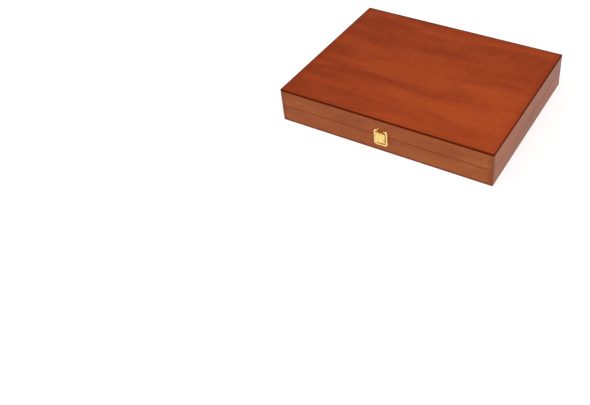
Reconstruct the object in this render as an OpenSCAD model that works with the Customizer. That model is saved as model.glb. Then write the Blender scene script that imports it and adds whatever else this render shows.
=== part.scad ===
// Chess box with a hinged lid.
// A shallow mahogany-stained box whose lid is as deep as its base. Two small brass butt
// hinges carry the lid at the back, and a pressed brass lever clasp closes the front.
// Millimetres. X is the width, Y runs from the front to the back, +Z is up.
// The origin is the centre of the underside of the base.

/* [Box] */
// Width of the box, left to right
box_w = 380; // [340:5:420]
// Depth of the box, front to back
box_d = 300; // [270:5:330]
// Height of the base, from the table to its rim
base_h = 30.5; // [30.5:0.5:38]
// Height of the lid, from its rim to the top
lid_h = 30.2; // [28:0.2:30.4]
// Gap between the two rims when the box is shut
rim_gap = 0.3; // [0.2:0.1:0.4]
// Thickness of the walls
wall_t = 7; // [6.5:0.5:10]
// Radius of the four upright corners
corner_r = 2.5; // [1:0.5:5]
// Bevel that eases the long edges of both rims
rim_bevel = 0.4; // [0.2:0.1:0.8]

/* [Panels] */
// Thickness of the veneered panel on top of the lid
lid_panel_t = 3; // [2.5:0.5:5]
// Thickness of the panel under the base
floor_panel_t = 3; // [2.5:0.5:4]
// Radius of the eased outer edges of both panels
panel_edge_r = 0.8; // [0.4:0.1:1.2]

/* [Compartments] */
// Number of compartments across the width
columns = 8; // [6:1:10]
// Number of compartments from front to back
rows = 3; // [2:1:4]
// Thickness of the divider slats
divider_t = 3; // [2:0.5:5]
// Height of the divider slats
divider_h = 24.5; // [18:0.5:25]
// Slack of the slats between the walls, and of their half-lap notches
divider_slack = 0.1; // [0.05:0.05:0.3]
// Radius of the rounded upper edges of the slats
divider_edge_r = 0.8; // [0.3:0.1:0.9]

/* [Felt and pad] */
// Thickness of the felt on the floor
felt_t = 1; // [0.8:0.2:2]
// Gap between the felt and the walls
felt_gap = 0.3; // [0.2:0.1:1]
// Thickness of the lid's pad at its edges
pad_edge_t = 8; // [5:0.5:10]
// Height of the pad's crown above its edges
pad_crown = 4; // [2:0.5:5]
// Gap between the pad and the lid's walls
pad_gap = 1; // [0.5:0.5:3]
// How far the pad's sides draw in between its corners
pad_draw_in = 2; // [0:0.5:4]

/* [Hinges] */
// Distance between the middles of the two hinges
hinge_spacing = 220; // [160:5:250]
// Length of each hinge
hinge_len = 38; // [32:1:50]
// Width of a leaf, inward from the back of the box
leaf_w = 5.6; // [5.2:0.1:5.8]
// Thickness of a leaf
leaf_t = 1; // [0.8:0.1:1.2]
// Slack of a leaf in its mortise
mortise_slack = 0.1; // [0.05:0.05:0.2]
// Outer radius of the knuckles
knuckle_r = 2.1; // [1.9:0.1:2.6]
// Number of knuckles in one hinge
knuckles = 5; // [3:2:7]
// Gap between neighbouring knuckles
knuckle_gap = 0.2; // [0.1:0.05:0.3]
// Gap between the knuckles and the back of the box
knuckle_stand_off = 0.25; // [0.2:0.05:0.5]
// Radius of the hinge pin
hinge_pin_r = 1; // [0.8:0.1:1.2]
// Radial running clearance of the hinge pins and of the lever's pin
running_clearance = 0.05; // [0.03:0.01:0.08]
// Distance between the two screws of a leaf
screw_spacing = 24; // [18:1:26]
// Radius of a screw's countersunk head
screw_head_r = 1.9; // [1.6:0.1:2]
// Radius of a screw's shank
screw_shank_r = 0.9; // [0.7:0.1:1]
// Length of a screw
screw_len = 9; // [7:0.5:12]
// Width of the cross slots in a screw's head
screw_slot_w = 0.5; // [0.3:0.1:0.6]
// Depth of the cross slots in a screw's head
screw_slot_depth = 0.6; // [0.3:0.1:0.7]

/* [Clasp plates] */
// Width of the clasp
clasp_w = 24.5; // [23:0.5:28]
// Height of the base's plate, down from the rim
base_plate_h = 17.1; // [16.5:0.1:18]
// Height of the keeper plate on the lid
keeper_h = 12.2; // [12:0.2:14]
// Distance of each plate's edge from the rim it sits by
clasp_setback = 0.2; // [0.1:0.1:0.4]
// Thickness of the clasp's sheet
clasp_sheet_t = 0.8; // [0.6:0.1:1]
// Width of the raised rims
bead_w = 3.6; // [3.2:0.1:4]
// How far the raised rims stand out from the wood
bead_h = 3.4; // [3.3:0.1:3.8]
// Radius of the rims' rounded edges
bead_edge_r = 1.3; // [1.2:0.1:1.5]
// Outer radius of the clasp's corners
clasp_corner_r = 5; // [4.5:0.1:6]
// Width of the finger notch in the top of the keeper plate
notch_w = 10; // [8:0.5:11]
// Depth of the finger notch
notch_depth = 4.2; // [3:0.2:4.4]
// Radius of the finger notch's corners
notch_r = 1.5; // [0.5:0.5:2.5]
// Gap between the catch on the keeper plate and the closed lever
catch_gap = 0.35; // [0.3:0.05:0.6]
// Radius of the catch's rounded ridge
catch_r = 1.2; // [1:0.1:1.4]
// Length of the catch
catch_len = 8; // [6:0.5:10]
// Height of the catch above the keeper plate's lower edge
catch_rise = 5.6; // [5:0.2:6]

/* [Clasp lever] */
// Gap between the lever and the rims on both sides
lever_gap = 0.35; // [0.3:0.05:0.6]
// Thickness of the lever's plate
lever_t = 1.1; // [0.8:0.1:1.2]
// Gap between the lever's knuckle and the sheet behind it
lever_back_gap = 0.25; // [0.2:0.05:0.4]
// How far the lever's plate bows out in the middle
lever_bow = 0.4; // [0:0.1:0.6]
// Outer radius of the lever's rolled knuckle
lever_knuckle_r = 1.3; // [1.2:0.1:1.5]
// How far the lever reaches above the rim of the base
lever_reach = 7.9; // [7.4:0.1:8.2]
// Height of the lever's finger lip
lip_h = 2.4; // [1.5:0.1:3]
// How far the finger lip flares out
lip_flare = 0.7; // [0.3:0.1:1]
// Radius of the lever's two upper corners
lever_corner_r = 2; // [1:0.5:3]
// Radius of the pin that the lever turns on
lever_pin_r = 0.6; // [0.5:0.1:0.7]
// How far the pin enters each side rim
lever_pin_seat = 2.2; // [1.5:0.1:3]

/* [Clasp nails] */
// Distance between the two nails of a plate
nail_spacing = 10; // [8:0.5:11]
// Radius of a nail's domed head
nail_head_r = 1.2; // [1:0.1:1.3]
// Height of a nail's domed head
nail_head_h = 0.7; // [0.5:0.1:0.9]
// Radius of a nail's shank
nail_shank_r = 0.6; // [0.5:0.1:0.7]
// Length of a nail's shank, from the face of the sheet
nail_len = 6; // [4:0.5:6.5]
// Radial slack round a nail's or screw's shank
shank_slack = 0.03; // [0.02:0.01:0.05]
// Height of the nails above the keeper plate's lower edge
keeper_nail_rise = 2.2; // [1.6:0.2:2.4]
// Height of the nails above the middle of the lever's pin
base_nail_rise = 6.6; // [5:0.2:7.6]

/* [Hidden] */
$fn = 32;
cut = 1;
mahogany = "#a05534";
top_veneer = "#9f3f20";
slat_wood = "#8a4a2c";
brass = "#e8bf62";
steel = "#b9b4a6";
felt_green = "#1f4a34";

// Levels
lid_z = base_h + rim_gap;
box_h = lid_z + lid_h;
base_wall_h = base_h - floor_panel_t;
lid_wall_h = lid_h - lid_panel_t;
felt_top_z = floor_panel_t + felt_t;
pad_top_z = box_h - lid_panel_t;

// The room inside the walls
inner_w = box_w - 2 * wall_t;
inner_d = box_d - 2 * wall_t;
column_pitch = (inner_w + divider_t) / columns;
row_pitch = (inner_d + divider_t) / rows;

// The pad and the grid of points that its faces are drawn on
pad_w = inner_w - 2 * pad_gap;
pad_d = inner_d - 2 * pad_gap;
pad_columns = 22;
pad_rows = 18;
pad_sharpness = 6;

// The hinge line, just behind the back of the box and level with the gap
hinge_back = knuckle_r + knuckle_stand_off;
hinge_y = box_d / 2 + hinge_back;
hinge_z = base_h + rim_gap / 2;
hinge_bore_r = hinge_pin_r + running_clearance;
knuckle_pitch = hinge_len / knuckles;
pin_end_bevel = 0.3;
screw_cone_h = screw_head_r - screw_shank_r;
// Length of a cross slot, as a share of the head's width
slot_share = 0.65;

// The clasp, measured up from the table and out from the front of the box
clasp_bottom_z = base_h - clasp_setback - base_plate_h;
keeper_z = lid_z + clasp_setback;
lever_w = clasp_w - 2 * (bead_w + lever_gap);
// The lever's knuckle starts where the side rims are straight, so that it turns freely
lever_pin_z = clasp_bottom_z + clasp_corner_r + lever_knuckle_r;
lever_pin_out = clasp_sheet_t + lever_back_gap + lever_knuckle_r;
catch_out = lever_pin_out + lever_knuckle_r - lever_t - catch_gap;
lever_h = base_h + lever_reach - lever_pin_z;
lever_bow_steps = 8;

BASE_NODES = [
    "base_front_wall", "base_right_wall", "base_back_wall", "base_left_wall",
    "base_bottom_panel", "base_felt"
];
DIVIDER_NODES = [
    for (i = [1:rows - 1]) str("long_divider_", i),
    for (i = [1:columns - 1]) str("cross_divider_", i)
];
LID_NODES = [
    "lid_front_wall", "lid_right_wall", "lid_back_wall", "lid_left_wall",
    "lid_top_panel", "lid_pad"
];
HINGE_NODES = [
    "hinge_base_leaf_left", "hinge_base_leaf_right",
    "hinge_lid_leaf_left", "hinge_lid_leaf_right",
    "hinge_pin_left", "hinge_pin_right",
    "hinge_base_screws", "hinge_lid_screws"
];
CLASP_NODES = [
    "clasp_base_plate", "clasp_base_nails", "clasp_lever", "clasp_lever_pin",
    "clasp_keeper_plate", "clasp_keeper_nails"
];

// ---- Shared placing ----

// Turns a piece made for the front to another side; reach is that side's distance
// from the middle of the box
module at_side(turn, reach) {
    rotate([0, 0, turn]) translate([0, -reach, 0]) children();
}

// Stands a flat drawing on the front of the box: its Y goes up and its Z comes out
module on_front(z) {
    translate([0, -box_d / 2, z]) rotate([90, 0, 0]) children();
}

// Puts a piece that is drawn round the hinge line at the left or right hinge
module at_hinge(side) {
    translate([side * hinge_spacing / 2, hinge_y, hinge_z]) children();
}

// Turns a piece of the base's hinge leaf over to make the lid's
module over_for_lid() {
    mirror([0, 0, 1]) children();
}

// Lays a cylinder along X, centred
module rod(r, length) {
    rotate([0, 90, 0]) cylinder(r = r, h = length, center = true);
}

// ---- Walls and panels ----

// Outline of one mitred wall seen from above: outer face along Y = 0, rounded corners
module wall_plan(length) {
    intersection() {
        polygon([
            [-length / 2, 0], [length / 2, 0],
            [length / 2 - wall_t, wall_t], [-length / 2 + wall_t, wall_t]
        ]);
        union() {
            translate([-length / 2 + corner_r, 0])
                square([length - 2 * corner_r, wall_t]);
            translate([-length / 2, corner_r])
                square([length, wall_t]);
            for (s = [-1, 1])
                translate([s * (length / 2 - corner_r), corner_r])
                    circle(corner_r);
        }
    }
}

// Cross-section of a wall: outer face at X = 0, the rim at the top with both edges eased
module wall_section(height) {
    polygon([
        [0, 0], [wall_t, 0],
        [wall_t, height - rim_bevel], [wall_t - rim_bevel, height],
        [rim_bevel, height], [0, height - rim_bevel]
    ]);
}

module wall(length, height) {
    intersection() {
        linear_extrude(height) wall_plan(length);
        rotate([90, 0, 90])
            linear_extrude(length, center = true) wall_section(height);
    }
}

module base_wall(turn, reach, length) {
    color(mahogany)
        at_side(turn, reach) translate([0, 0, floor_panel_t]) wall(length, base_wall_h);
}

module lid_wall(turn, reach, length) {
    color(mahogany)
        at_side(turn, reach)
            translate([0, 0, lid_z + lid_wall_h]) mirror([0, 0, 1]) wall(length, lid_wall_h);
}

// Section across a panel whose two upper edges are eased
module panel_section(width, thickness) {
    translate([-width / 2, 0])
        square([width, thickness - panel_edge_r]);
    translate([-width / 2 + panel_edge_r, 0])
        square([width - 2 * panel_edge_r, thickness]);
    for (s = [-1, 1])
        translate([s * (width / 2 - panel_edge_r), thickness - panel_edge_r])
            circle(panel_edge_r);
}

// Panel as large as the box, with rounded corners and eased upper edges
module panel(thickness) {
    intersection() {
        linear_extrude(thickness) {
            square([box_w - 2 * corner_r, box_d], center = true);
            square([box_w, box_d - 2 * corner_r], center = true);
            for (sx = [-1, 1], sy = [-1, 1])
                translate([sx * (box_w / 2 - corner_r), sy * (box_d / 2 - corner_r)])
                    circle(corner_r);
        }
        rotate([90, 0, 90])
            linear_extrude(box_w, center = true) panel_section(box_d, thickness);
        rotate([90, 0, 0])
            linear_extrude(box_d, center = true) panel_section(box_w, thickness);
    }
}

module base_front_wall() {
    difference() {
        base_wall(0, box_d / 2, box_w);
        at_base_nails() nail_hole();
    }
}

module base_right_wall() {
    base_wall(90, box_w / 2, box_d);
}

module base_back_wall() {
    difference() {
        base_wall(180, box_d / 2, box_w);
        for (side = [-1, 1]) at_hinge(side) leaf_mortise();
    }
}

module base_left_wall() {
    base_wall(270, box_w / 2, box_d);
}

module base_bottom_panel() {
    color(mahogany)
        translate([0, 0, floor_panel_t]) mirror([0, 0, 1]) panel(floor_panel_t);
}

module lid_front_wall() {
    difference() {
        lid_wall(0, box_d / 2, box_w);
        at_keeper_nails() nail_hole();
    }
}

module lid_right_wall() {
    lid_wall(90, box_w / 2, box_d);
}

module lid_back_wall() {
    difference() {
        lid_wall(180, box_d / 2, box_w);
        for (side = [-1, 1]) at_hinge(side) over_for_lid() leaf_mortise();
    }
}

module lid_left_wall() {
    lid_wall(270, box_w / 2, box_d);
}

module lid_top_panel() {
    color(top_veneer)
        translate([0, 0, pad_top_z]) panel(lid_panel_t);
}

// ---- Inside the base ----

module base_felt() {
    color(felt_green)
        translate([0, 0, floor_panel_t + felt_t / 2])
            cube([inner_w - 2 * felt_gap, inner_d - 2 * felt_gap, felt_t], center = true);
}

// Slat along X with rounded upper edges, standing on Z = 0
module slat(length) {
    color(slat_wood)
        rotate([90, 0, 90])
            linear_extrude(length, center = true) {
                translate([-divider_t / 2, 0])
                    square([divider_t, divider_h - divider_edge_r]);
                translate([-divider_t / 2 + divider_edge_r, 0])
                    square([divider_t - 2 * divider_edge_r, divider_h]);
                for (s = [-1, 1])
                    translate([s * (divider_t / 2 - divider_edge_r), divider_h - divider_edge_r])
                        circle(divider_edge_r);
            }
}

// Cuts for half-lap notches, one for each slat that crosses
module notches(crossings, pitch, z) {
    for (i = [1:crossings])
        translate([(i - (crossings + 1) / 2) * pitch, 0, z])
            cube([
                divider_t + 2 * divider_slack, divider_t + cut, divider_h + 2 * divider_slack
            ], center = true);
}

// Slat along the width, number i counted from the front, notched from above
module long_divider(i) {
    translate([0, (i - rows / 2) * row_pitch, felt_top_z])
        difference() {
            slat(inner_w - 2 * divider_slack);
            notches(columns - 1, column_pitch, divider_h);
        }
}

// Slat from front to back, number i counted from the left, notched from below
module cross_divider(i) {
    translate([(i - columns / 2) * column_pitch, 0, felt_top_z])
        rotate([0, 0, 90])
            difference() {
                slat(inner_d - 2 * divider_slack);
                notches(rows - 1, row_pitch, 0);
            }
}

// ---- The lid's pad ----

// Depth of the pad at u, v, which run from -1 to 1 across it
function pad_depth(u, v) =
    pad_edge_t + pad_crown * (1 - pow(abs(u), pad_sharpness)) * (1 - pow(abs(v), pad_sharpness));

// Point of the pad at u, v; its sides draw in most at the middle
function pad_point(u, v, z) = [
    u * (pad_w / 2 - pad_draw_in * (1 - v * v)),
    v * (pad_d / 2 - pad_draw_in * (1 - u * u)),
    z
];

function pad_grid(depth_share) = [
    for (j = [0:pad_rows], i = [0:pad_columns])
        let (u = 2 * i / pad_columns - 1, v = 2 * j / pad_rows - 1)
            pad_point(u, v, -depth_share * pad_depth(u, v))
];

// Two triangles for each cell of a grid of points, turned over on request
function pad_skin(first, turned) = [
    for (j = [0:pad_rows - 1], i = [0:pad_columns - 1], half = [0, 1])
        let (
            a = first + j * (pad_columns + 1) + i,
            b = a + 1,
            c = a + pad_columns + 1,
            d = c + 1,
            face = half == 0 ? [a, b, d] : [a, d, c]
        )
            turned ? [face[2], face[1], face[0]] : face
];

// Numbers of the grid's edge points, in order round the pad
pad_border = concat(
    [for (i = [0:pad_columns - 1]) i],
    [for (j = [0:pad_rows - 1]) j * (pad_columns + 1) + pad_columns],
    [for (i = [pad_columns:-1:1]) pad_rows * (pad_columns + 1) + i],
    [for (j = [pad_rows:-1:1]) j * (pad_columns + 1)]
);

module lid_pad() {
    points_per_skin = (pad_columns + 1) * (pad_rows + 1);
    edge_count = len(pad_border);
    sides = [
        for (k = [0:edge_count - 1], half = [0, 1])
            let (
                a = pad_border[k],
                b = pad_border[(k + 1) % edge_count]
            )
                half == 0 ? [a, b, b + points_per_skin] : [a, b + points_per_skin, a + points_per_skin]
    ];
    color(felt_green)
        translate([0, 0, pad_top_z])
            polyhedron(
                points = concat(pad_grid(0), pad_grid(1)),
                faces = concat(pad_skin(0, true), pad_skin(points_per_skin, false), sides)
            );
}

// ---- Hinges ----
// Each leaf is drawn round the hinge line, with the back of the box at Y = -hinge_back

module at_screws() {
    for (s = [-1, 1])
        translate([s * screw_spacing / 2, -hinge_back - leaf_w / 2, -rim_gap / 2])
            children();
}

// Countersunk hole from a leaf's face down into the wall
module screw_hole() {
    translate([0, 0, -screw_cone_h - shank_slack])
        cylinder(
            r1 = screw_shank_r + shank_slack,
            r2 = screw_head_r + 2 * shank_slack,
            h = screw_cone_h + shank_slack
        );
    translate([0, 0, -screw_len - shank_slack])
        cylinder(r = screw_shank_r + shank_slack, h = screw_len);
}

module screw() {
    difference() {
        union() {
            translate([0, 0, -screw_cone_h])
                cylinder(r1 = screw_shank_r, r2 = screw_head_r, h = screw_cone_h);
            translate([0, 0, -screw_len])
                cylinder(r = screw_shank_r, h = screw_len);
        }
        for (turn = [0, 90])
            rotate([0, 0, turn])
                cube([
                    2 * slot_share * screw_head_r, screw_slot_w, 2 * screw_slot_depth
                ], center = true);
    }
}

module leaf_mortise() {
    translate([
        -hinge_len / 2 - mortise_slack,
        -hinge_back - leaf_w - mortise_slack,
        -rim_gap / 2 - leaf_t
    ])
        cube([hinge_len + 2 * mortise_slack, leaf_w + mortise_slack + cut, leaf_t + cut]);
    at_screws() screw_hole();
}

// Leaf with every second knuckle, starting at number first
module hinge_leaf(first) {
    color(brass)
        difference() {
            union() {
                translate([-hinge_len / 2, -hinge_back - leaf_w, -rim_gap / 2 - leaf_t])
                    cube([hinge_len, leaf_w, leaf_t]);
                for (i = [first:2:knuckles - 1])
                    translate([(i + 0.5) * knuckle_pitch - hinge_len / 2, 0, 0]) {
                        rod(knuckle_r, knuckle_pitch - knuckle_gap);
                        translate([
                            -(knuckle_pitch - knuckle_gap) / 2,
                            -hinge_back - leaf_t,
                            -rim_gap / 2 - leaf_t
                        ])
                            cube([knuckle_pitch - knuckle_gap, hinge_back + leaf_t, leaf_t]);
                    }
            }
            rod(hinge_bore_r, hinge_len + cut);
            at_screws() screw_hole();
        }
}

module hinge_pin(side) {
    color(brass)
        at_hinge(side) {
            rod(hinge_pin_r, hinge_len - 2 * pin_end_bevel);
            for (turn = [-90, 90])
                rotate([0, turn, 0])
                    translate([0, 0, hinge_len / 2 - pin_end_bevel])
                        cylinder(
                            r1 = hinge_pin_r, r2 = hinge_pin_r - pin_end_bevel, h = pin_end_bevel
                        );
        }
}

module hinge_base_screws() {
    color(brass)
        for (side = [-1, 1]) at_hinge(side) at_screws() screw();
}

module hinge_lid_screws() {
    color(brass)
        for (side = [-1, 1]) at_hinge(side) over_for_lid() at_screws() screw();
}

// ---- Clasp ----
// Plates are drawn flat: X across, Y up from the plate's lower edge, Z out from the wood

// Section of the raised rim: its outer edge is at X = 0
module bead_section() {
    square([bead_w, bead_h - bead_edge_r]);
    translate([bead_edge_r, 0])
        square([bead_w - 2 * bead_edge_r, bead_h]);
    for (x = [bead_edge_r, bead_w - bead_edge_r])
        translate([x, bead_h - bead_edge_r]) circle(bead_edge_r);
}

// Straight rim along Y, with its outer edge at X = 0
module bead_run(length) {
    translate([0, length, 0])
        rotate([90, 0, 0]) linear_extrude(length) bead_section();
}

// Quarter turn of rim about the middle of a clasp corner
module bead_corner(turn) {
    rotate([0, 0, turn])
        rotate_extrude(angle = 90)
            translate([clasp_corner_r, 0]) mirror([1, 0]) bead_section();
}

// Rounded end of a rim, about the middle of its width
module bead_end() {
    rotate_extrude()
        intersection() {
            translate([-bead_w / 2, 0]) bead_section();
            square([bead_w / 2, bead_h]);
        }
}

// Sheet of a plate, rounded at its two lower corners
module plate_outline(height) {
    translate([-clasp_w / 2 + clasp_corner_r, 0])
        square([clasp_w - 2 * clasp_corner_r, height]);
    translate([-clasp_w / 2, clasp_corner_r])
        square([clasp_w, height - clasp_corner_r]);
    for (s = [-1, 1])
        translate([s * (clasp_w / 2 - clasp_corner_r), clasp_corner_r])
            circle(clasp_corner_r);
}

// Side rims that end in a quarter turn at the plate's two lower corners
module side_beads(height) {
    translate([-clasp_w / 2, clasp_corner_r, 0])
        bead_run(height - clasp_corner_r);
    mirror([1, 0, 0])
        translate([-clasp_w / 2, clasp_corner_r, 0])
            bead_run(height - clasp_corner_r);
    translate([-clasp_w / 2 + clasp_corner_r, clasp_corner_r, 0])
        bead_corner(180);
    translate([clasp_w / 2 - clasp_corner_r, clasp_corner_r, 0])
        bead_corner(270);
}

module at_base_nails() {
    on_front(lever_pin_z + base_nail_rise)
        for (s = [-1, 1]) translate([s * nail_spacing / 2, 0, clasp_sheet_t]) children();
}

module at_keeper_nails() {
    on_front(keeper_z + keeper_nail_rise)
        for (s = [-1, 1]) translate([s * nail_spacing / 2, 0, clasp_sheet_t]) children();
}

module nail_hole() {
    translate([0, 0, -nail_len - shank_slack])
        cylinder(r = nail_shank_r + shank_slack, h = nail_len + cut);
}

// Nail with a domed head, which rests on Z = 0
module nail() {
    dome_r = (nail_head_r * nail_head_r + nail_head_h * nail_head_h) / (2 * nail_head_h);
    color(brass) {
        intersection() {
            translate([0, 0, nail_head_h - dome_r]) sphere(dome_r);
            cylinder(r = nail_head_r, h = nail_head_h);
        }
        translate([0, 0, -nail_len]) cylinder(r = nail_shank_r, h = nail_len);
    }
}

module clasp_base_plate() {
    color(brass)
        difference() {
            on_front(clasp_bottom_z) {
                linear_extrude(clasp_sheet_t) plate_outline(base_plate_h);
                side_beads(base_plate_h);
                translate([clasp_w / 2 - clasp_corner_r, 0, 0])
                    rotate([0, 0, 90]) bead_run(clasp_w - 2 * clasp_corner_r);
            }
            at_lever_pin() rod(lever_pin_r + shank_slack, lever_w + 2 * (lever_gap + lever_pin_seat));
            at_base_nails() nail_hole();
        }
}

module clasp_keeper_plate() {
    color(brass)
        difference() {
            on_front(keeper_z)
                translate([0, keeper_h, 0]) mirror([0, 1, 0]) {
                    linear_extrude(clasp_sheet_t)
                        difference() {
                            plate_outline(keeper_h);
                            finger_notch();
                        }
                    side_beads(keeper_h);
                    for (s = [-1, 1])
                        translate([s * (clasp_w / 2 - clasp_corner_r), bead_w / 2, 0])
                            bead_end();
                    translate([0, keeper_h - catch_rise, catch_out - catch_r])
                        rod(catch_r, catch_len);
                }
            at_keeper_nails() nail_hole();
            translate([0, 0, keeper_z]) behind_front();
        }
}

// The space behind the front face, which trims whatever would sink into the wood
module behind_front() {
    translate([-clasp_w / 2, -box_d / 2, 0]) cube([clasp_w, wall_t, keeper_h]);
}

// Notch in from Y = 0, with rounded inner corners
module finger_notch() {
    translate([-notch_w / 2, -cut]) square([notch_w, notch_depth - notch_r + cut]);
    translate([-notch_w / 2 + notch_r, 0]) square([notch_w - 2 * notch_r, notch_depth]);
    for (s = [-1, 1])
        translate([s * (notch_w / 2 - notch_r), notch_depth - notch_r]) circle(notch_r);
}

module at_lever_pin() {
    translate([0, -box_d / 2 - lever_pin_out, lever_pin_z]) children();
}

// Side view of the lever: X out from the wood, Y up, the pin at the origin
module lever_section() {
    straight_h = lever_h - lip_h;
    function bow(h) = lever_bow * sin(180 * h / straight_h);
    rise = [for (k = [0:lever_bow_steps]) k * straight_h / lever_bow_steps];
    circle(lever_knuckle_r);
    polygon(concat(
        [for (h = rise) [lever_knuckle_r + bow(h), h]],
        [
            [lever_knuckle_r + lip_flare, lever_h],
            [lever_knuckle_r + lip_flare - lever_t, lever_h]
        ],
        [for (k = [lever_bow_steps:-1:0]) [lever_knuckle_r - lever_t + bow(rise[k]), rise[k]]]
    ));
}

module clasp_lever() {
    color(brass)
        at_lever_pin()
            difference() {
                intersection() {
                    rotate([90, 0, -90])
                        linear_extrude(lever_w, center = true) lever_section();
                    lever_front();
                }
                rod(lever_pin_r + running_clearance, lever_w + cut);
            }
}

// Front view of the lever with its rounded upper corners, deeper than its lip stands out
module lever_front() {
    depth = 2 * (lever_knuckle_r + lip_flare + cut);
    rotate([90, 0, 0])
        linear_extrude(depth, center = true) {
            translate([-lever_w / 2, -lever_knuckle_r])
                square([lever_w, lever_h + lever_knuckle_r - lever_corner_r]);
            translate([-lever_w / 2 + lever_corner_r, -lever_knuckle_r])
                square([lever_w - 2 * lever_corner_r, lever_h + lever_knuckle_r]);
            for (s = [-1, 1])
                translate([s * (lever_w / 2 - lever_corner_r), lever_h - lever_corner_r])
                    circle(lever_corner_r);
        }
}

module clasp_lever_pin() {
    color(steel)
        at_lever_pin()
            rod(lever_pin_r, lever_w + 2 * (lever_gap + lever_pin_seat - shank_slack));
}

module clasp_base_nails() {
    at_base_nails() nail();
}

module clasp_keeper_nails() {
    at_keeper_nails() nail();
}

base_front_wall();
base_right_wall();
base_back_wall();
base_left_wall();
base_bottom_panel();
base_felt();
for (i = [1:rows - 1])
    long_divider(i);
for (i = [1:columns - 1])
    cross_divider(i);
lid_front_wall();
lid_right_wall();
lid_back_wall();
lid_left_wall();
lid_top_panel();
lid_pad();
at_hinge(-1) hinge_leaf(0);  // hinge_base_leaf_left
at_hinge(1) hinge_leaf(0);  // hinge_base_leaf_right
at_hinge(-1) over_for_lid() hinge_leaf(1);  // hinge_lid_leaf_left
at_hinge(1) over_for_lid() hinge_leaf(1);  // hinge_lid_leaf_right
hinge_pin(-1);  // hinge_pin_left
hinge_pin(1);  // hinge_pin_right
hinge_base_screws();
hinge_lid_screws();
clasp_base_plate();
clasp_base_nails();
clasp_lever();
clasp_lever_pin();
clasp_keeper_plate();
clasp_keeper_nails();
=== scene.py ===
import math

import bmesh
import bpy
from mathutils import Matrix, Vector, noise


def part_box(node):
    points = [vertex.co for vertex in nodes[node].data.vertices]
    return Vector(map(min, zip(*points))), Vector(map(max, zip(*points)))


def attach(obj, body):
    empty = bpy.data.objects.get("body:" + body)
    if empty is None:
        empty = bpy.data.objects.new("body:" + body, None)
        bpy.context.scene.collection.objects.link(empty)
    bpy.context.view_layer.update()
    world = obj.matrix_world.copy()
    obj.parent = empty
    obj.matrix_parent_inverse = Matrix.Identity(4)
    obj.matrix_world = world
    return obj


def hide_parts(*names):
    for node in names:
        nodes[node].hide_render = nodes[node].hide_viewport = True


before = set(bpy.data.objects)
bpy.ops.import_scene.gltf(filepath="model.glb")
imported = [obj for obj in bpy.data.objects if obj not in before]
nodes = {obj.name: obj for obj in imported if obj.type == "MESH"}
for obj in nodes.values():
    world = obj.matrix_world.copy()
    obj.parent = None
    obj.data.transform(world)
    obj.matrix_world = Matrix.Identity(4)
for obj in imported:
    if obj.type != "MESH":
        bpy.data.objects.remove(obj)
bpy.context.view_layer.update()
scene = bpy.context.scene
scene.view_settings.view_transform = "Standard"
mm = 0.001
print("frame loaded:", len(nodes), "CAD nodes")


cameraView = {
    "place": (0.5003, -0.9943, 0.8124),  # where the photographer stood, in metres
    "aim": (0.0039, -0.1593, 0.0305),
    "roll": -2.765,  # degrees, the camera was held a little askew
    "lens": 48.580,
    "shift": (-0.1451, -0.1061),  # the box sits up and to the right in the picture
    "sensor": 36, "near": 0.01, "far": 50,
}


def makeCamera(view):
    data = bpy.data.cameras.new("camera")
    camera = bpy.data.objects.new("camera", data)
    scene.collection.objects.link(camera)
    place, aim = Vector(view["place"]), Vector(view["aim"])
    turn = (aim - place).to_track_quat("-Z", "Y").to_matrix().to_4x4()
    turn = turn @ turn.Rotation(math.radians(view["roll"]), 4, "Z")
    turn.translation = place
    camera.matrix_world = turn
    data.lens = view["lens"]
    data.sensor_width = view["sensor"]
    data.shift_x, data.shift_y = view["shift"]
    data.clip_start, data.clip_end = view["near"], view["far"]
    scene.camera = camera


makeCamera(cameraView)


def linear(hexColour):
    # sRGB hex to the linear colour that sockets hold
    channels = [int(hexColour[i:i + 2], 16) / 255 for i in (1, 3, 5)]
    return [c / 12.92 if c <= 0.04045 else ((c + 0.055) / 1.055) ** 2.4 for c in channels] + [1]


def put(tree, kind, settings=None, inputs=None):
    # adds one node. An input takes a value, a socket, or a node, whose first live output is linked
    node = tree.nodes.new(kind)
    for name, value in (settings or {}).items():
        setattr(node, name, value)
    for name, value in (inputs or {}).items():
        if isinstance(value, bpy.types.Node):
            value = next(socket for socket in value.outputs if socket.enabled)
        if isinstance(value, bpy.types.NodeSocket):
            tree.links.new(value, node.inputs[name])
        else:
            node.inputs[name].default_value = value
    return node


def newMaterial(name):
    material = bpy.data.materials.new(name)
    material.use_nodes = True
    material.node_tree.nodes.clear()
    return material


def finishMaterial(material, surface):
    put(material.node_tree, "ShaderNodeOutputMaterial", None, {"Surface": surface})
    return material


def dress(nodeName, material):
    # gives a carried-over CAD node its material
    piece = nodes[nodeName]
    piece.data.materials.clear()
    piece.data.materials.append(material)


studio = {
    "floorSize": 30.0, "floorDrop": 0.0002,  # it lies a hair below the box
    "floorColour": "#d9d9d9",
    "floorGlow": 0.46,  # what the camera adds to the lit floor, so that it ends up white
    "floorMirrored": 0.4,  # and what reflections add to it
    "skyLight": 0.53,  # strength of the room's light on the object
    "walls": 0.6, "ceiling": 0.11,  # what gloss sees of the room, level with the table and high up
    "horizon": (0.25, 0.55),  # height of direction where the walls fade into the dark ceiling
    "screen": (-0.5, -0.05),  # and where a pale screen behind the camera ends
    "screenLevel": 0.55,
    "keyFrom": (0.513, -0.559, 0.653), "keySize": 21, "keyStrength": 1.73,  # sizes in degrees
    "fillFrom": (-0.686, -0.49, 0.539), "fillSize": 24, "fillStrength": 0.69,
}


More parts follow.
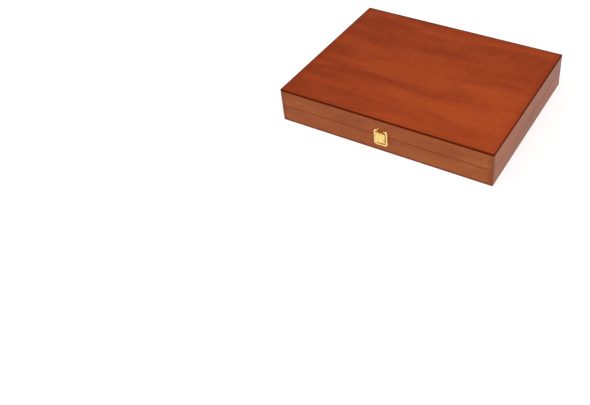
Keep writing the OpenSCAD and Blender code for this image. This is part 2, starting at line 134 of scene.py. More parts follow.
# The floor is matt white paper: no gloss at all, and a soft shadow under the box.
def makeFloor(look):
    bpy.ops.mesh.primitive_plane_add(size=look["floorSize"], location=(0, 0, -look["floorDrop"]))
    floor = bpy.context.object
    floor.name = "studioFloor"
    material = newMaterial("matt white paper")
    tree = material.node_tree
    path = put(tree, "ShaderNodeLightPath")
    seen = put(tree, "ShaderNodeMath", {"operation": "MULTIPLY"},
               {0: path.outputs["Is Camera Ray"], 1: look["floorGlow"]})
    mirrored = put(tree, "ShaderNodeMath", {"operation": "MAXIMUM"},
                   {0: path.outputs["Is Glossy Ray"], 1: path.outputs["Is Transmission Ray"]})
    glow = put(tree, "ShaderNodeMath", {"operation": "MULTIPLY_ADD"},
               {0: mirrored, 1: look["floorMirrored"], 2: seen})
    light = put(tree, "ShaderNodeEmission", None, {"Strength": glow})
    paper = put(tree, "ShaderNodeBsdfDiffuse", None, {"Color": linear(look["floorColour"])})
    both = put(tree, "ShaderNodeAddShader", None, {0: paper, 1: light})
    floor.data.materials.append(finishMaterial(material, both))


def makeRoom(look):
    # a plain white room, but gloss sees pale walls, a screen and a dark ceiling
    world = bpy.data.worlds.new("studio room")
    scene.world = world
    world.use_nodes = True
    tree = world.node_tree
    tree.nodes.clear()
    path = put(tree, "ShaderNodeLightPath")
    direction = put(tree, "ShaderNodeTexCoord")
    parts = put(tree, "ShaderNodeSeparateXYZ", None, {"Vector": direction.outputs["Generated"]})
    low, high = look["horizon"]
    walls = put(tree, "ShaderNodeMapRange", {"interpolation_type": "SMOOTHSTEP"},
                {"Value": parts.outputs["Z"], "From Min": low, "From Max": high,
                 "To Min": look["walls"], "To Max": look["ceiling"]})
    near, far = look["screen"]
    screen = put(tree, "ShaderNodeMapRange", {"interpolation_type": "SMOOTHSTEP"},
                 {"Value": parts.outputs["Y"], "From Min": near, "From Max": far,
                  "To Min": look["screenLevel"], "To Max": 0.0})
    room = put(tree, "ShaderNodeMath", {"operation": "MAXIMUM"}, {0: walls, 1: screen})
    glossy = put(tree, "ShaderNodeMix", {"data_type": "FLOAT"},
                 {0: path.outputs["Is Glossy Ray"], 2: look["skyLight"], 3: room})
    direct = put(tree, "ShaderNodeMath", {"operation": "MAXIMUM"},
                 {0: path.outputs["Is Camera Ray"], 1: path.outputs["Is Transmission Ray"]})
    strength = put(tree, "ShaderNodeMix", {"data_type": "FLOAT"}, {0: direct, 2: glossy, 3: 1.0})
    sky = put(tree, "ShaderNodeBackground", None, {"Color": (1, 1, 1, 1), "Strength": strength})
    put(tree, "ShaderNodeOutputWorld", None, {"Surface": sky})


def makeLamps(look):
    for name in ("key", "fill"):
        data = bpy.data.lights.new(name + " light", "SUN")
        data.angle = math.radians(look[name + "Size"])
        data.energy = look[name + "Strength"]
        lamp = bpy.data.objects.new(name + " light", data)
        scene.collection.objects.link(lamp)
        lamp.rotation_euler = Vector(look[name + "From"]).to_track_quat("Z", "Y").to_euler()


makeFloor(studio)
makeRoom(studio)
makeLamps(studio)
print("studio and camera made")


# Mahogany, stained red-brown and clear lacquered. The wood is even and fine: soft bands along the
# grain, a faint ripple across it, and pores as short dark flecks, drawn a little larger than real
# ones so that they show. The lacquer gives it a sharp gloss over a dull base. Each layer of the
# grain is length and width in millimetres, detail, twist.
topLook = {
    "light": "#b14b21", "middle": "#a5431f", "dark": "#91381a", "pore": "#53240c",
    "stainAndShade": "#531c07",
    "paintedLightSpot": (0.09, -0.09, 0.061),  # a painted pool of light: the veneer is painted lightest there
    "paintedLightFalloff": 0.73,  # and the painted light falls off by this much per metre from there
    "band": (150, 38, 3, 0.9), "bandShare": 0.48,
    "line": (110, 4, 2, 0.3), "lineShare": 0.09,
    "streak": (26, 0.8, 3, 0.2), "streakShare": 0.1,
    "ripple": (11, 34, 1, 0.6), "rippleShare": 0.1,
    "toneDark": 0.245, "toneLight": 0.525,
    "pores": (6, 0.32, 0, 0), "poreStart": 0.62, "poreFull": 0.72, "poreShade": 0.4,
    "poreDepth": 0.02, "poreRelief": 0.35,
    "wave": (5, 5, 1, 0), "waveDepth": 0.006,  # the lacquer's own unevenness
    "roughness": 0.5, "coat": 0.55, "coatRoughness": 0.07, "coatIor": 1.45,
}
# The walls are sawn boards of the same wood, browner and with more of a stripe than the veneer.
# Their tone too is raised around a light spot by the front right corner: painted light.
sideLook = dict(topLook, light="#a65a2a", middle="#9d4e20", dark="#8d4419",
                paintedLightSpot=(0.19, -0.15, 0.03), paintedLightFalloff=0.28, coat=0.5,
                bandShare=0.62, streakShare=0.14, toneDark=0.335, toneLight=0.615)
paintedLightLevel = 0.15  # metres from the painted light spot at which the painted light neither raises nor lowers the tone


def grain(tree, place, length, width, detail, twist):
    # noise drawn out along the grain: length and width are those of one fleck or band, in mm
    across = 1 / (width * mm)
    drawn = put(tree, "ShaderNodeMapping", None,
                {"Vector": place, "Scale": (1 / (length * mm), across, across)})
    return put(tree, "ShaderNodeTexNoise", None,
               {"Vector": drawn, "Scale": 1.0, "Detail": detail, "Distortion": twist})


def lacqueredWood(name, look, turn, offset, stainAndShadeMask=None, matt=0.0):
    # turn is the angle of the grain from the X axis, offset picks another stretch of board, and
    # matt is how far the stain and the painted shade take away the gloss
    material = newMaterial(name)
    tree = material.node_tree
    where = put(tree, "ShaderNodeTexCoord").outputs["Object"]
    board = put(tree, "ShaderNodeMapping", {"vector_type": "TEXTURE"},
                {"Vector": where, "Rotation": (0, 0, math.radians(turn)), "Location": offset})
    # Painted light: the tone starts raised near the light spot and falls with distance from it, a
    # painted pool of light.
    away = put(tree, "ShaderNodeVectorMath", {"operation": "DISTANCE"},
               {0: where, 1: look["paintedLightSpot"]})
    tone = put(tree, "ShaderNodeMath", {"operation": "MULTIPLY_ADD"},
               {0: away, 1: -look["paintedLightFalloff"], 2: paintedLightLevel * look["paintedLightFalloff"]})
    for layer in ("band", "line", "streak", "ripple"):
        tone = put(tree, "ShaderNodeMath", {"operation": "MULTIPLY_ADD"},
                   {0: grain(tree, board, *look[layer]), 1: look[layer + "Share"], 2: tone})
    colours = put(tree, "ShaderNodeValToRGB", None, {"Fac": tone})
    stops = colours.color_ramp.elements
    stops[0].position, stops[1].position = look["toneDark"], look["toneLight"]
    stops[0].color, stops[1].color = linear(look["dark"]), linear(look["light"])
    stops.new((look["toneDark"] + look["toneLight"]) / 2).color = linear(look["middle"])
    fleck = put(tree, "ShaderNodeMapRange", {"interpolation_type": "SMOOTHSTEP"},
                {"Value": grain(tree, board, *look["pores"]),
                 "From Min": look["poreStart"], "From Max": look["poreFull"]})
    shade = put(tree, "ShaderNodeMath", {"operation": "MULTIPLY"}, {0: fleck, 1: look["poreShade"]})
    colour = put(tree, "ShaderNodeMix", {"data_type": "RGBA"},
                 {0: shade, 6: colours.outputs["Color"], 7: linear(look["pore"])})
    coat = look["coat"]
    # the mask lays on the dark stain of the top panel's edges, and painted shade on the walls and
    # the bottom
    if stainAndShadeMask:
        stainAndShade = stainAndShadeMask(tree, where)
        colour = put(tree, "ShaderNodeMix", {"data_type": "RGBA"},
                     {0: stainAndShade, 6: colour, 7: linear(look["stainAndShade"])})
        if matt:
            coat = put(tree, "ShaderNodeMath", {"operation": "MULTIPLY_ADD"},
                       {0: stainAndShade, 1: -matt * coat, 2: coat})
    dips = put(tree, "ShaderNodeBump", {"invert": True},
               {"Strength": look["poreRelief"], "Distance": look["poreDepth"] * mm,
                "Height": fleck})
    skin = put(tree, "ShaderNodeBump", None, {"Strength": 1.0, "Distance": look["waveDepth"] * mm,
                                              "Height": grain(tree, board, *look["wave"])})
    surface = put(tree, "ShaderNodeBsdfPrincipled", None, {
        "Base Color": colour, "Roughness": look["roughness"], "Specular IOR Level": 0.0,
        "Coat Weight": coat, "Coat Roughness": look["coatRoughness"], "Coat IOR": look["coatIor"],
        "Normal": dips, "Coat Normal": skin,
    })
    return finishMaterial(material, surface)


panelLow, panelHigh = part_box("lid_top_panel")
boxSize = panelHigh - panelLow
splitLevel = (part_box("base_front_wall")[1].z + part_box("lid_front_wall")[0].z) / 2

# Where the dark stain and the painted shade lie, in millimetres: stain on the top panel's eased
# edges;
# painted shade on the bottom panel's edge, beside the line between base and lid, along the foot,
# and softly towards the upright corners.
topStain = {
    "bare": 0.6, "bareShade": 0.5,  # a height on the panel's edge, and how much stain is there
    "dark": 1.2, "darkShade": 1.0,  # and where it is at its darkest
    "margin": 3.2, "full": 0.9,  # how far in from the edge it starts and is full
    "sideShare": 0.85,  # the left and right edges have a little less of it
    "softReach": 16, "softShade": 0.16,  # a faint wash further in
}
# On the bottom panel the same mask paints shade, darkest at the foot, a painted contact shadow.
bottomPaintedShade = dict(topStain, bare=4.5, bareShade=0.0, dark=0.8, darkShade=0.75, sideShare=1.0,
                   softShade=0.0)  # darkest at its foot
frontPaintedShade = {
    "split": 0.9, "splitFull": 0.54, "splitShade": 0.6,  # beside the line between base and lid
    "corner": 14, "cornerShade": 0.36,
    "foot": 6.0, "footFull": 0.8, "footShade": 0.7,
    "skin": 1.9,  # the foot's painted shade is on the outside only, this deep
}
sidePaintedShade = dict(frontPaintedShade, splitShade=0.0)


def pastOutline(tree, parts):
    # how far a point lies outside the box's sides, and its front or back: negative within
    reach = []
    for axis in (0, 1):
        far = put(tree, "ShaderNodeMath", {"operation": "ABSOLUTE"}, {0: parts.outputs[axis]})
        reach.append(put(tree, "ShaderNodeMath", {"operation": "SUBTRACT"},
                         {0: far, 1: boxSize[axis] / 2}))
    return reach


# Dark stain on the top panel's eased edges; on the bottom panel the same mask is painted shade
# along the foot.
def panelStainAndShade(plan, under):
    # under is the height of the panel's lower face
    def mask(tree, where):
        parts = put(tree, "ShaderNodeSeparateXYZ", None, {"Vector": where})
        sides = pastOutline(tree, parts)
        rims = []
        for side, share in zip(sides, (plan["sideShare"], 1.0)):
            rims.append(put(tree, "ShaderNodeMapRange", {"interpolation_type": "SMOOTHSTEP"},
                            {"Value": side, "From Min": -plan["margin"] * mm,
                             "From Max": -plan["full"] * mm, "To Max": share}))
        rim = put(tree, "ShaderNodeMath", {"operation": "MAXIMUM"}, {0: rims[0], 1: rims[1]})
        height = put(tree, "ShaderNodeMapRange", {"interpolation_type": "SMOOTHSTEP"},
                     {"Value": parts.outputs["Z"],
                      "From Min": under + plan["bare"] * mm, "To Min": plan["bareShade"],
                      "From Max": under + plan["dark"] * mm, "To Max": plan["darkShade"]})
        edge = put(tree, "ShaderNodeMath", {"operation": "MULTIPLY"}, {0: rim, 1: height})
        nearest = put(tree, "ShaderNodeMath", {"operation": "MAXIMUM"}, {0: sides[0], 1: sides[1]})
        soft = put(tree, "ShaderNodeMapRange", {"interpolation_type": "SMOOTHSTEP"},
                   {"Value": nearest, "From Min": -plan["softReach"] * mm, "From Max": 0.0,
                    "To Max": plan["softShade"]})
        return put(tree, "ShaderNodeMath", {"operation": "MAXIMUM"}, {0: edge, 1: soft})
    return mask


# Painted shade on the walls: darker beside the line between base and lid, towards the upright
# corners, and along the foot.
def wallPaintedShade(plan):
    def mask(tree, where):
        parts = put(tree, "ShaderNodeSeparateXYZ", None, {"Vector": where})
        sides = pastOutline(tree, parts)
        above = put(tree, "ShaderNodeMath", {"operation": "SUBTRACT"},
                    {0: parts.outputs["Z"], 1: splitLevel})
        away = put(tree, "ShaderNodeMath", {"operation": "ABSOLUTE"}, {0: above})
        split = put(tree, "ShaderNodeMapRange", {"interpolation_type": "SMOOTHSTEP"},
                    {"Value": away, "From Min": plan["splitFull"] * mm,
                     "From Max": plan["split"] * mm, "To Min": plan["splitShade"], "To Max": 0.0})
        furthest = put(tree, "ShaderNodeMath", {"operation": "MINIMUM"}, {0: sides[0], 1: sides[1]})
        corner = put(tree, "ShaderNodeMapRange", {"interpolation_type": "SMOOTHSTEP"},
                     {"Value": furthest, "From Min": -plan["corner"] * mm, "From Max": 0.0,
                      "To Max": plan["cornerShade"]})
        low = put(tree, "ShaderNodeMapRange", {"interpolation_type": "SMOOTHSTEP"},
                  {"Value": parts.outputs["Z"], "From Min": plan["footFull"] * mm,
                   "From Max": plan["foot"] * mm, "To Min": plan["footShade"], "To Max": 0.0})
        nearest = put(tree, "ShaderNodeMath", {"operation": "MAXIMUM"}, {0: sides[0], 1: sides[1]})
        outer = put(tree, "ShaderNodeMath", {"operation": "GREATER_THAN"},
                    {0: nearest, 1: -plan["skin"] * mm})
        foot = put(tree, "ShaderNodeMath", {"operation": "MULTIPLY"}, {0: low, 1: outer})
        upright = put(tree, "ShaderNodeMath", {"operation": "MAXIMUM"}, {0: split, 1: corner})
        return put(tree, "ShaderNodeMath", {"operation": "MAXIMUM"}, {0: upright, 1: foot})
    return mask


veneerOffset = (1.61, 1.87, 0.73)  # a stretch of veneer whose bands lie as on the real lid
bottomOffset = (1.3, 0.4, 0)
dress("lid_top_panel", lacqueredWood("lacquered mahogany veneer", topLook, 0, veneerOffset,
                                     panelStainAndShade(topStain, panelLow.z), matt=1.0))
# the bottom panel's darkened foot is painted shade
dress("base_bottom_panel", lacqueredWood("lacquered mahogany bottom", sideLook, 0, bottomOffset,
                                         panelStainAndShade(bottomPaintedShade, 0.0), matt=1.0))
wallOffsets = {"front": (0.2, 0, 0.013), "back": (0.9, 0.3, 0.01),
               "left": (0.4, 0.21, 0), "right": (1.7, 0.15, 0)}
lidShift = Vector((0.37, 0.11, 0.02))  # the lid's walls come from further along the same boards
# The walls get painted shade beside the line between base and lid, at the corners and along the
# foot.
for half in ("base", "lid"):
    for side, offset in wallOffsets.items():
        turn, stainAndShade = (0, frontPaintedShade) if side in ("front", "back") else (90, sidePaintedShade)
        dress(f"{half}_{side}_wall", lacqueredWood(
            f"lacquered mahogany {half} {side}", sideLook, turn,
            Vector(offset) + lidShift * (half == "lid"), wallPaintedShade(stainAndShade)))
print("box walls and panels dressed")

# Slats of the same wood, stained a little darker and only waxed, so they are satin
slatLook = dict(sideLook, light="#96512f", middle="#874527", dark="#74381f", roughness=0.42,
                coatRoughness=0.35, poreDepth=0.04)
slatStep = Vector((0.13, 0.21, 0))  # each slat is cut this much further along the board
for name in nodes:
    if "divider" in name:
        turn = 0 if name.startswith("long") else 90
        number = int(name.split("_")[-1])
        dress(name, lacqueredWood("waxed mahogany " + name, slatLook, turn, slatStep * number))
print("slats dressed")


# Plated brass, pressed for the clasp and rolled for the hinges. The clasp is a pale gold mirror, a
# little cloudy from handling; its plates are tinted pinker and its lever yellower, painted
# reflection on one brass. The hinges are only drawn bright, so fine lines along the leaf, coarser
# than real ones so that they show, spread the gloss. The lever turns on a pin of drawn steel, a
# cold grey beside the brass. Metals keep the default IOR. Clouds and lines are length and width in
# millimetres, detail, twist.
claspLook = {
    "bright": "#fad68f", "worn": "#e5bb70", "cloud": (5, 5, 3, 0.2), "wornRange": (0.42, 0.75),
    "smooth": 0.13, "rough": 0.26, "dullRange": (0.4, 0.7),
    "lines": (3, 0.12, 1, 0), "depth": 0.004, "relief": 0.5,
}
# The lever's brass is tinted yellower than the plates' pinker brass: painted reflection on one
# metal.
leverReflectionTintLook = dict(claspLook, bright="#f5d88a", worn="#e2ba66")
hingeLook = dict(claspLook, bright="#ecc878", worn="#cfa352", cloud=(7, 7, 3, 0.2),
                 smooth=0.3, rough=0.42, lines=(9, 0.1, 1, 0), depth=0.006)
steelLook = dict(claspLook, bright="#cfccc4", worn="#a9a59b", cloud=(4, 4, 3, 0.2),
                 smooth=0.22, rough=0.36, lines=(2, 0.1, 1, 0), depth=0.003)


def polishedMetal(name, look):
    material = newMaterial(name)
    tree = material.node_tree
    where = put(tree, "ShaderNodeTexCoord").outputs["Object"]
    cloud = grain(tree, where, *look["cloud"])
    low, high = look["wornRange"]
    worn = put(tree, "ShaderNodeMapRange", {"interpolation_type": "SMOOTHSTEP"},
               {"Value": cloud, "From Min": low, "From Max": high})
    colour = put(tree, "ShaderNodeMix", {"data_type": "RGBA"},
                 {0: worn, 6: linear(look["bright"]), 7: linear(look["worn"])})
    low, high = look["dullRange"]
    dulled = put(tree, "ShaderNodeMapRange", {"interpolation_type": "SMOOTHSTEP"},
                 {"Value": cloud, "From Min": low, "From Max": high,
                  "To Min": look["smooth"], "To Max": look["rough"]})
    bump = put(tree, "ShaderNodeBump", None,
               {"Strength": look["relief"], "Distance": look["depth"] * mm,
                "Height": grain(tree, where, *look["lines"])})
    surface = put(tree, "ShaderNodeBsdfPrincipled", None,
                  {"Base Color": colour, "Metallic": 1.0, "Roughness": dulled, "Normal": bump})
    return finishMaterial(material, surface)


claspBrass = polishedMetal("bright plated brass", claspLook)
leverReflectionTintBrass = polishedMetal("plated brass with painted reflection tint", leverReflectionTintLook)
hingeBrass = polishedMetal("drawn brass", hingeLook)
pinSteel = polishedMetal("bright drawn steel", steelLook)
for name in nodes:
    if name.startswith("hinge"):
        dress(name, hingeBrass)
    elif name.startswith("clasp"):
        dress(name, {"clasp_lever": leverReflectionTintBrass, "clasp_lever_pin": pinSteel}.get(name, claspBrass))
print("metal dressed")

# Wool felt, pressed and dyed bottle green: no weave, only short fibres lying every way, drawn
# coarser than real ones so that they show. It is quite matt, with a faint lighter bloom at grazing
# angles.
feltLook = {
    "deep": "#163a28", "lit": "#27573f", "toneRange": (0.32, 0.68),
    "fibre": (0.45, 0.45, 4, 2.5), "tuft": (1.6, 1.6, 2, 1.0), "clump": (14, 14, 2, 0.5),
    "fibreShare": 0.5, "tuftShare": 0.3, "clumpShare": 0.2, "depth": 0.14, "relief": 0.6,
    "roughness": 0.95, "specular": 0.2, "bloom": "#7fb396", "sheen": 0.35, "sheenRoughness": 0.5,
}


def pressedFelt(name, look):
    material = newMaterial(name)
    tree = material.node_tree
    where = put(tree, "ShaderNodeTexCoord").outputs["Object"]
    fibres = grain(tree, where, *look["fibre"])
    mixed = put(tree, "ShaderNodeMath", {"operation": "MULTIPLY"},
                {0: fibres, 1: look["fibreShare"]})
    for layer in ("tuft", "clump"):
        mixed = put(tree, "ShaderNodeMath", {"operation": "MULTIPLY_ADD"},
                    {0: grain(tree, where, *look[layer]), 1: look[layer + "Share"], 2: mixed})
    low, high = look["toneRange"]
    lit = put(tree, "ShaderNodeMapRange", {"interpolation_type": "SMOOTHSTEP"},
              {"Value": mixed, "From Min": low, "From Max": high})
    colour = put(tree, "ShaderNodeMix", {"data_type": "RGBA"},
                 {0: lit, 6: linear(look["deep"]), 7: linear(look["lit"])})
    bump = put(tree, "ShaderNodeBump", None,
               {"Strength": look["relief"], "Distance": look["depth"] * mm, "Height": fibres})
    surface = put(tree, "ShaderNodeBsdfPrincipled", None, {
        "Base Color": colour, "Roughness": look["roughness"],
        "Specular IOR Level": look["specular"], "Sheen Weight": look["sheen"],
        "Sheen Roughness": look["sheenRoughness"], "Sheen Tint": linear(look["bloom"]),
        "Normal": bump,
    })
    return finishMaterial(material, surface)


felt = pressedFelt("bottle green wool felt", feltLook)


def newPiece(name, mesh, material, body):
    piece = bpy.data.objects.new(name, mesh)
    scene.collection.objects.link(piece)
    mesh.materials.append(material)
    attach(piece, body)
    return piece


def gridMesh(name, columns, rows, place):
    # a closed slab: place gives the point of a skin, 0 below and 1 above, at a column and row
    mesh = bpy.data.meshes.new(name)
    build = bmesh.new()
    lower, upper = [[[build.verts.new(place(skin, i, j)) for i in range(columns + 1)]
                     for j in range(rows + 1)] for skin in (0, 1)]
    for j in range(rows):
        for i in range(columns):
            for near, far in ((lower[j], lower[j + 1]), (upper[j], upper[j + 1])):
                build.faces.new((near[i], near[i + 1], far[i + 1], far[i]))
    rim = ([(i, 0) for i in range(columns)] + [(columns, j) for j in range(rows)]
           + [(i, rows) for i in range(columns, 0, -1)] + [(0, j) for j in range(rows, 0, -1)])
    for (i, j), (k, m) in zip(rim, rim[1:] + rim[:1]):
        build.faces.new((lower[j][i], lower[m][k], upper[m][k], upper[j][i]))
    bmesh.ops.recalc_face_normals(build, faces=build.faces)
    for face in build.faces:
        face.smooth = True
    build.to_mesh(mesh)
    build.free()
    return mesh


# The felt on the floor of the base: one cut sheet glued down, a little uneven where the glue holds
# less, and rounded over at its cut edges. The flat size is in metres, the rest in millimetres.
lining = {"flat": (0.3654, 0.2854), "dip": 0.16, "dipWidth": 24, "edgeRound": 0.3,
          "columns": 122, "rows": 96}


def makeLining(size):
    low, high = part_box("base_felt")
    width, depth = size["flat"]

    def place(skin, i, j):
        u, v = i / size["columns"], j / size["rows"]
        x, y = (u - 0.5) * width, (v - 0.5) * depth
        if skin == 0:
            return (x, y, low.z)
        shallow = noise.noise(Vector((x, y, 0.5)) / (size["dipWidth"] * mm)) * 0.5 + 0.5
        drop = size["dip"] * mm * min(max(shallow, 0.0), 1.0)
        if i in (0, size["columns"]) or j in (0, size["rows"]):
            drop = size["edgeRound"] * mm
        return (x, y, high.z - drop)

    mesh = gridMesh("baseLining", size["columns"], size["rows"], place)
    piece = newPiece("baseLining", mesh, felt, "base")
    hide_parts("base_felt")


makeLining(lining)
print("base lining made")

# The pad in the lid: felt drawn over wadding and glued under the top panel. It starts a little
# smaller than its room, is blown up as cloth, and keeps its glued side flat. In millimetres.
pad = {
    "startInset": 1.5, "edge": 6.5, "crown": 3.0, "drawIn": 2.0, "sharpness": 6,
    "columns": 52, "rows": 42, "voxel": 5, "rounds": 1,
    "quality": 6, "mass": 0.3, "stretch": 15, "bend": 0.5, "pressure": 4, "frames": 20,
    "glued": 1.2, "cap": 4.0,  # depth of the glued side, and the most that the cloth may move
    "puckerDepth": 0.25, "puckerWidth": 11, "edgeReach": 16,
}


def makePad(size):
    low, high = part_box("lid_pad")
    middle = (low + high) / 2
    half = (high - low) / 2 - Vector((size["startInset"], size["startInset"], 0)) * mm

    def place(skin, i, j):
        u, v = 2 * i / size["columns"] - 1, 2 * j / size["rows"] - 1
        x = u * (half.x - size["drawIn"] * mm * (1 - v * v))
        y = v * (half.y - size["drawIn"] * mm * (1 - u * u))
        crown = (1 - abs(u) ** size["sharpness"]) * (1 - abs(v) ** size["sharpness"])
        depth = (size["edge"] + size["crown"] * crown) * mm
        return (middle.x + x, middle.y + y, high.z - (depth if skin == 0 else 0))

    mesh = gridMesh("lidPad", size["columns"], size["rows"], place)
    piece = newPiece("lidPad", mesh, felt, "lid")
    remesh = piece.modifiers.new("remesh", "REMESH")
    remesh.mode = "VOXEL"
    remesh.voxel_size = size["voxel"] * mm
    remesh.use_smooth_shade = True
    bake(piece)
    start = [vertex.co.copy() for vertex in piece.data.vertices]
    swell(piece, size, high.z)
    for vertex, before in zip(piece.data.vertices, start):
        moved = vertex.co - before
        if moved.length > size["cap"] * mm:
            moved *= size["cap"] * mm / moved.length
        spot = before + moved
        past = max(abs(spot.x - middle.x) - half.x, abs(spot.y - middle.y) - half.y)
        rimward = min(max(past / (size["edgeReach"] * mm) + 1, 0), 1)
        pucker = noise.noise(Vector((spot.x, spot.y, 0)) / (size["puckerWidth"] * mm)) * rimward
        if before.z < high.z - size["glued"] * mm:
            spot.z += size["puckerDepth"] * mm * pucker
        vertex.co = [min(max(spot[axis], low[axis]), high[axis]) for axis in range(3)]
    piece.modifiers.new("smooth", "SUBSURF").levels = size["rounds"]
    bake(piece)
    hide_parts("lid_pad")


def bake(piece):
    # makes what the modifiers show the piece's own mesh
    graph = bpy.context.evaluated_depsgraph_get()
    graph.update()
    mesh = bpy.data.meshes.new_from_object(piece.evaluated_get(graph))
    piece.modifiers.clear()
    mesh.name = piece.name
    piece.data = mesh


def swell(piece, size, gluedLevel):
    glued = piece.vertex_groups.new(name="glued")
    glued.add([vertex.index for vertex in piece.data.vertices
               if vertex.co.z > gluedLevel - size["glued"] * mm], 1.0, "REPLACE")
    cloth = piece.modifiers.new("cloth", "CLOTH")
    cloth.settings.quality = size["quality"]
    cloth.settings.mass = size["mass"]
    cloth.settings.tension_stiffness = size["stretch"]
    cloth.settings.compression_stiffness = size["stretch"]
    cloth.settings.bending_stiffness = size["bend"]
    cloth.settings.use_pressure = True
    cloth.settings.uniform_pressure_force = size["pressure"]
    cloth.settings.effector_weights.gravity = 0
    cloth.settings.vertex_group_mass = "glued"
    for step in range(1, size["frames"] + 1):
        scene.frame_set(step)
    bake(piece)
    scene.frame_set(1)
    piece.vertex_groups.clear()


makePad(pad)
print("lid pad made")

# The hinge screws: countersunk wood screws with a cross recess, a plain neck and a cut thread.
screw = {
    "head": 1.895, "neck": 0.88, "core": 0.62,  # radii, and like the lengths in millimetres
    "cone": 1.1, "length": 9.0, "plain": 2.4, "tip": 1.6, "pitch": 0.8, "thread": 0.26,
    "slotWidth": 0.55, "slotReach": 1.2, "slotDepth": 0.7,
    "sides": 40, "turnSteps": 24, "ridgeSides": 3, "sharpAngle": 35,
}


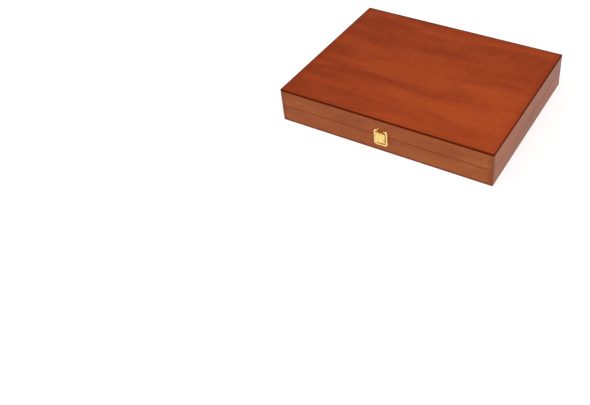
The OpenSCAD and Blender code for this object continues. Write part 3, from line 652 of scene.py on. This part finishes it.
def screwTree(size, material):
    tree = bpy.data.node_groups.new("countersunk screws", "GeometryNodeTree")
    tree.interface.new_socket("Geometry", in_out="INPUT", socket_type="NodeSocketGeometry")
    tree.interface.new_socket("Geometry", in_out="OUTPUT", socket_type="NodeSocketGeometry")
    for name in ("head", "neck", "core", "cone", "length", "plain", "tip", "pitch", "thread",
                 "slotWidth", "slotReach", "slotDepth"):
        socket = tree.interface.new_socket(name, in_out="INPUT", socket_type="NodeSocketFloat")
        socket.default_value = size[name] * mm
    for name in ("sides", "turnSteps", "ridgeSides"):
        socket = tree.interface.new_socket(name, in_out="INPUT", socket_type="NodeSocketInt")
        socket.default_value = size[name]
    tree.interface.new_socket("flip", in_out="INPUT", socket_type="NodeSocketFloat")
    entry = put(tree, "NodeGroupInput").outputs

    def raised(shape, level):
        offset = put(tree, "ShaderNodeCombineXYZ", None, {"Z": level})
        return put(tree, "GeometryNodeTransform", None, {"Geometry": shape, "Translation": offset})

    def turnedLength(low, high, depth, level):
        # one length of the screw as it comes off the lathe, from level upwards
        shape = put(tree, "GeometryNodeMeshCone", None,
                    {"Vertices": entry["sides"], "Radius Top": high, "Radius Bottom": low,
                     "Depth": depth})
        return raised(shape, level)

    def crossArm(length, width):
        # the cutter stands as far above the head as it goes into it
        tall = put(tree, "ShaderNodeMath", {"operation": "MULTIPLY"},
                   {0: entry["slotDepth"], 1: 2.0})
        extent = put(tree, "ShaderNodeCombineXYZ", None, {"X": length, "Y": width, "Z": tall})
        return put(tree, "GeometryNodeMeshCube", None, {"Size": extent}).outputs["Mesh"]

    less = {"operation": "SUBTRACT"}
    below = {}  # levels under the face of the head
    for name in ("cone", "plain", "length"):
        below[name] = put(tree, "ShaderNodeMath", less, {0: 0.0, 1: entry[name]})
    head = turnedLength(entry["neck"], entry["head"], entry["cone"], below["cone"])
    recess = put(tree, "GeometryNodeMeshBoolean", {"operation": "DIFFERENCE"}, {"Mesh 1": head})
    arm = put(tree, "ShaderNodeMath", {"operation": "MULTIPLY"}, {0: entry["slotReach"], 1: 2.0})
    for slot in (crossArm(arm, entry["slotWidth"]), crossArm(entry["slotWidth"], arm)):
        tree.links.new(slot, recess.inputs["Mesh 2"])
    neckLength = put(tree, "ShaderNodeMath", less, {0: entry["plain"], 1: entry["cone"]})
    neck = turnedLength(entry["neck"], entry["neck"], neckLength, below["plain"])
    cutLength = put(tree, "ShaderNodeMath", less, {0: entry["length"], 1: entry["plain"]})
    coreLength = put(tree, "ShaderNodeMath", less, {0: cutLength, 1: entry["tip"]})
    coreEnd = put(tree, "ShaderNodeMath", None, {0: below["length"], 1: entry["tip"]})
    core = turnedLength(entry["core"], entry["core"], coreLength, coreEnd)
    tip = turnedLength(0.0, entry["core"], entry["tip"], below["length"])
    turns = put(tree, "ShaderNodeMath", {"operation": "DIVIDE"}, {0: coreLength, 1: entry["pitch"]})
    helix = put(tree, "GeometryNodeCurveSpiral", None,
                {"Resolution": entry["turnSteps"], "Rotations": turns,
                 "Start Radius": entry["core"], "End Radius": entry["core"],
                 "Height": coreLength})
    ridge = put(tree, "GeometryNodeCurvePrimitiveCircle", None,
                {"Resolution": entry["ridgeSides"], "Radius": entry["thread"]})
    thread = put(tree, "GeometryNodeCurveToMesh", None,
                 {"Curve": helix, "Profile Curve": ridge, "Fill Caps": True})
    whole = put(tree, "GeometryNodeJoinGeometry")
    for part in (recess, neck, core, tip, raised(thread, coreEnd)):
        tree.links.new(part.outputs[0], whole.inputs["Geometry"])
    turned = put(tree, "ShaderNodeCombineXYZ", None, {"X": entry["flip"]})
    points = put(tree, "GeometryNodeMeshToPoints", None, {"Mesh": entry["Geometry"]})
    placed = put(tree, "GeometryNodeInstanceOnPoints", None,
                 {"Points": points, "Instance": whole, "Rotation": turned})
    real = put(tree, "GeometryNodeRealizeInstances", None, {"Geometry": placed})
    coated = put(tree, "GeometryNodeSetMaterial", None, {"Geometry": real, "Material": material})
    put(tree, "NodeGroupOutput", None, {"Geometry": coated})
    return tree


def screwSpots(nodeName, top):
    # the middle of each screw's head, from the loose parts of the CAD mesh
    build = bmesh.new()
    build.from_mesh(nodes[nodeName].data)
    bmesh.ops.remove_doubles(build, verts=build.verts, dist=0.001 * mm)
    left, spots = set(build.verts), []
    while left:
        group, edge = [], [left.pop()]
        while edge:
            vertex = edge.pop()
            group.append(vertex.co.copy())
            for other in (link.other_vert(vertex) for link in vertex.link_edges):
                if other in left:
                    left.remove(other)
                    edge.append(other)
        low = Vector([min(spot[axis] for spot in group) for axis in range(3)])
        high = Vector([max(spot[axis] for spot in group) for axis in range(3)])
        spots.append(((low.x + high.x) / 2, (low.y + high.y) / 2, high.z if top else low.z))
    build.free()
    return sorted(spots)


def makeScrews(size, tree, material):
    for nodeName, pieceName, body, top in (("hinge_base_screws", "baseHingeScrews", "base", True),
                                           ("hinge_lid_screws", "lidHingeScrews", "lid", False)):
        mesh = bpy.data.meshes.new(pieceName)
        mesh.from_pydata(screwSpots(nodeName, top), [], [])
        piece = newPiece(pieceName, mesh, material, body)
        modifier = piece.modifiers.new("screws", "NODES")
        modifier.node_group = tree
        flip = next(item for item in tree.interface.items_tree if item.name == "flip")
        modifier[flip.identifier] = 0.0 if top else math.pi
        bake(piece)
        for face in piece.data.polygons:
            face.use_smooth = True
        piece.data.set_sharp_from_angle(angle=math.radians(size["sharpAngle"]))
        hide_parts(nodeName)


makeScrews(screw, screwTree(screw, hingeBrass), hingeBrass)
print("hinge screws made")
